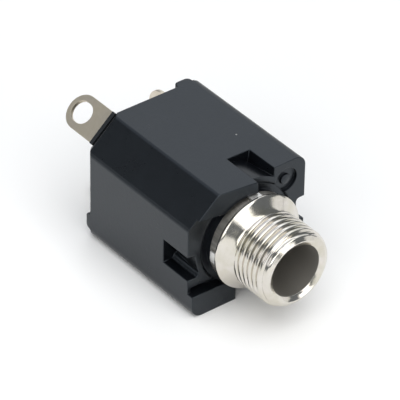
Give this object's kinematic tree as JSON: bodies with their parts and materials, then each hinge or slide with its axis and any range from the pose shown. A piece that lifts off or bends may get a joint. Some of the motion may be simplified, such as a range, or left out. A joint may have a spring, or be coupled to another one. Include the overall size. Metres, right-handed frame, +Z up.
{
  "type": "jack socket",
  "caption": "Closed-body panel jack socket for a 6.35 mm stereo plug: black moulded body with cut corners, threaded metal nose and flat solder tags.",
  "frame": {"origin": "where the plug axis crosses the front face of the moulded body", "axes": "+Y the way the plug goes in, towards the rear and the solder tags; +X to the right seen from the front; +Z up as the socket rests"},
  "size_m": [0.0164, 0.035, 0.0149],
  "materials": {
    "body_plastic": "semi-gloss moulded black",
    "cover_plastic": "satin moulded black",
    "nickel_plate": "bright nickel plate on brass",
    "tinned_brass": "dull tin plate",
    "spring_bronze": "plated strip"
  },
  "bodies": {
    "socket": {"housing": "body_plastic", "bush": "nickel_plate", "rear_cover": "cover_plastic", "tip_terminal": "tinned_brass", "ring_terminal": "tinned_brass", "sleeve_terminal": "tinned_brass"},
    "tip_leaf": {"tip_spring": "spring_bronze"},
    "ring_leaf": {"ring_spring": "spring_bronze"}
  },
  "joints": [
    {"name": "tip_spring_flex", "type": "hinge", "parent": "socket", "child": "tip_leaf", "pos_m": [-0.00422, 0.0082, 0.00423], "axis": [0.7496, 0, 0.6619], "range_deg": [0, 7.5], "stiffness_Nm_per_rad": 0.05},
    {"name": "ring_spring_flex", "type": "hinge", "parent": "socket", "child": "ring_leaf", "pos_m": [0.00585, 0.0072, 0.00085], "axis": [0, 0, -1], "range_deg": [0, 8.5], "stiffness_Nm_per_rad": 0.05}
  ]
}
